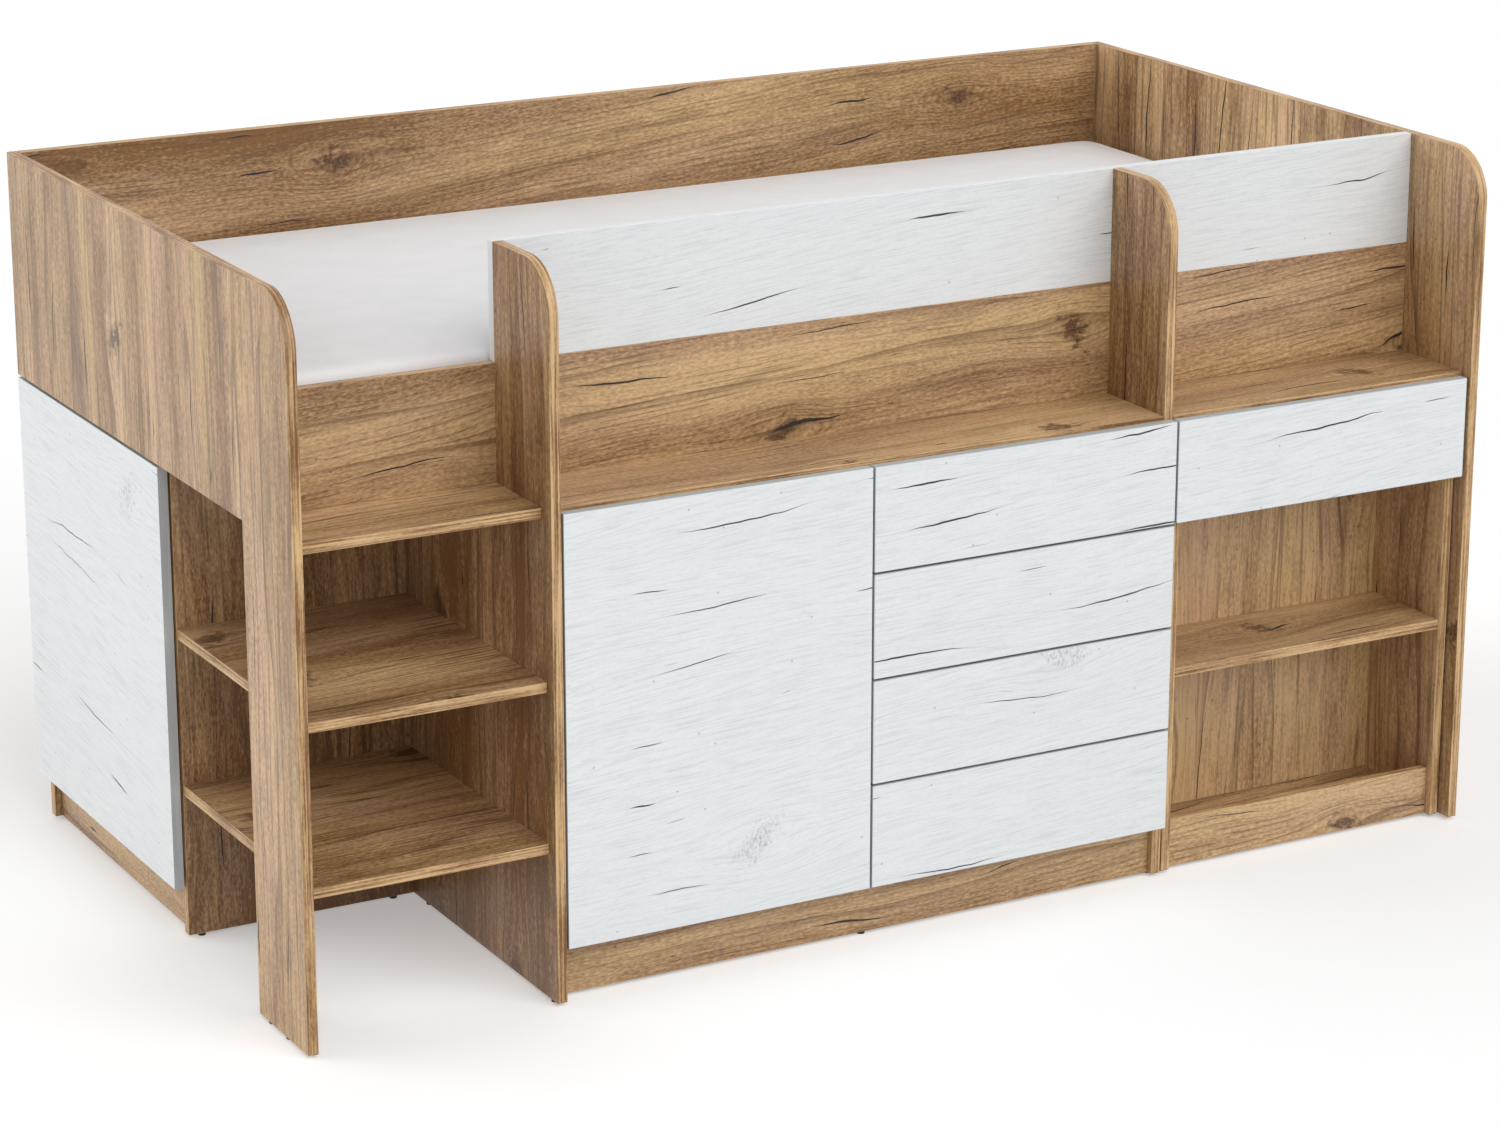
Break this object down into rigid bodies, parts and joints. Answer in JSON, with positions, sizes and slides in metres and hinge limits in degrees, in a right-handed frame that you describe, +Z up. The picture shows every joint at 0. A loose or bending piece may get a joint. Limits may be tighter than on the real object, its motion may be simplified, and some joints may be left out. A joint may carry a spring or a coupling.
{
  "type": "cabin bed",
  "caption": "Raised single bed of coated boards with climbing steps, cupboard, drawers, end locker and a roll-out desk under the mattress.",
  "frame": {"origin": "on the floor, in the middle of the outline seen from above", "axes": "X along the bed with the steps at -X, Y from the fronts at -Y to the wall side at +Y, Z up"},
  "size_m": [2.04, 1.119, 1.115],
  "materials": {
    "golden_oak_board": "satin coated board with golden oak decor",
    "white_oak_board": "satin coated board with white oak decor",
    "white_board": "satin white coated board",
    "hardboard": "white painted hardboard",
    "white_runner_steel": "white powder-coated steel",
    "birch_slats": "sanded birch",
    "nickel_plated_steel": "nickel-plated steel",
    "mattress_cloth": "knitted white cloth",
    "black_plastic": "moulded black plastic",
    "grey_roller_plastic": "moulded grey plastic"
  },
  "bodies": {
    "bed_frame": {"left_end_panel": "golden_oak_board", "right_end_panel": "golden_oak_board", "left_divider": "golden_oak_board", "right_divider": "golden_oak_board", "back_board": "golden_oak_board", "side_wall": "golden_oak_board", "guard_rail": "white_oak_board", "top_step": "golden_oak_board", "middle_step": "golden_oak_board", "bottom_step": "golden_oak_board", "cabinet_top": "golden_oak_board", "cabinet_bottom": "white_board", "cabinet_partition": "white_board", "cabinet_shelf": "white_board", "cabinet_plinth": "golden_oak_board", "cabinet_back": "hardboard", "desk_ledge": "golden_oak_board", "locker_front_side": "golden_oak_board", "locker_rear_side": "golden_oak_board", "locker_top": "golden_oak_board", "locker_bottom": "golden_oak_board", "locker_shelf": "golden_oak_board", "locker_plinth": "golden_oak_board", "shelf_pins": "nickel_plated_steel", "slat_bearers": "birch_slats", "bed_slats": "birch_slats", "mattress": "mattress_cloth", "plastic_glides": "black_plastic", "cabinet_runners": "white_runner_steel", "hinge_plates": "nickel_plated_steel"},
    "front_door": {"front_door": "white_oak_board", "front_door_cups": "nickel_plated_steel"},
    "end_door": {"end_door": "white_oak_board", "end_door_cups": "nickel_plated_steel"},
    "drawer_1": {"drawer_1_front": "white_oak_board", "drawer_1_box": "white_board", "drawer_1_runners": "white_runner_steel"},
    "drawer_2": {"drawer_2_front": "white_oak_board", "drawer_2_box": "white_board", "drawer_2_runners": "white_runner_steel"},
    "drawer_3": {"drawer_3_front": "white_oak_board", "drawer_3_box": "white_board", "drawer_3_runners": "white_runner_steel"},
    "drawer_4": {"drawer_4_front": "white_oak_board", "drawer_4_box": "white_board", "drawer_4_runners": "white_runner_steel"},
    "desk": {"desk_top": "golden_oak_board", "desk_sides": "golden_oak_board", "desk_back": "golden_oak_board", "desk_shelf": "golden_oak_board", "desk_bottom": "golden_oak_board", "desk_plinth": "golden_oak_board", "desk_rear_panel": "golden_oak_board", "desk_roller_brackets": "nickel_plated_steel", "desk_runners": "white_runner_steel"},
    "desk_drawer": {"desk_drawer_front": "white_oak_board", "desk_drawer_box": "white_board", "desk_drawer_runners": "white_runner_steel"},
    "desk_front_rollers": {"desk_front_rollers": "grey_roller_plastic"},
    "desk_rear_rollers": {"desk_rear_rollers": "grey_roller_plastic"}
  },
  "joints": [
    {"name": "front_door_hinge", "type": "hinge", "parent": "bed_frame", "child": "front_door", "pos_m": [-0.6047, -0.5595, 0.42], "axis": [0, 0, -1], "range_deg": [0, 105]},
    {"name": "end_door_hinge", "type": "hinge", "parent": "bed_frame", "child": "end_door", "pos_m": [-1.02, 0.5595, 0.417], "axis": [0, 0, -1], "range_deg": [0, 105]},
    {"name": "drawer_1_slide", "type": "slide", "parent": "bed_frame", "child": "drawer_1", "axis": [0, -1, 0], "range_m": [0, 0.33]},
    {"name": "drawer_2_slide", "type": "slide", "parent": "bed_frame", "child": "drawer_2", "axis": [0, -1, 0], "range_m": [0, 0.33]},
    {"name": "drawer_3_slide", "type": "slide", "parent": "bed_frame", "child": "drawer_3", "axis": [0, -1, 0], "range_m": [0, 0.33]},
    {"name": "drawer_4_slide", "type": "slide", "parent": "bed_frame", "child": "drawer_4", "axis": [0, -1, 0], "range_m": [0, 0.33]},
    {"name": "desk_slide", "type": "slide", "parent": "bed_frame", "child": "desk", "axis": [0, -1, 0], "range_m": [0, 0.8]},
    {"name": "desk_drawer_slide", "type": "slide", "parent": "desk", "child": "desk_drawer", "axis": [0, -1, 0], "range_m": [0, 0.25]},
    {"name": "desk_front_roller_spin", "type": "hinge", "parent": "desk", "child": "desk_front_rollers", "pos_m": [0.7265, -0.425, 0.0085], "axis": [1, 0, 0], "continuous": true},
    {"name": "desk_rear_roller_spin", "type": "hinge", "parent": "desk", "child": "desk_rear_rollers", "pos_m": [0.7265, 0.4825, 0.0085], "axis": [1, 0, 0], "continuous": true}
  ],
  "couplings": [
    {"joint": "desk_front_roller_spin", "follows": "desk_slide", "rad_per_m": 117.65},
    {"joint": "desk_rear_roller_spin", "follows": "desk_slide", "rad_per_m": 117.65}
  ]
}
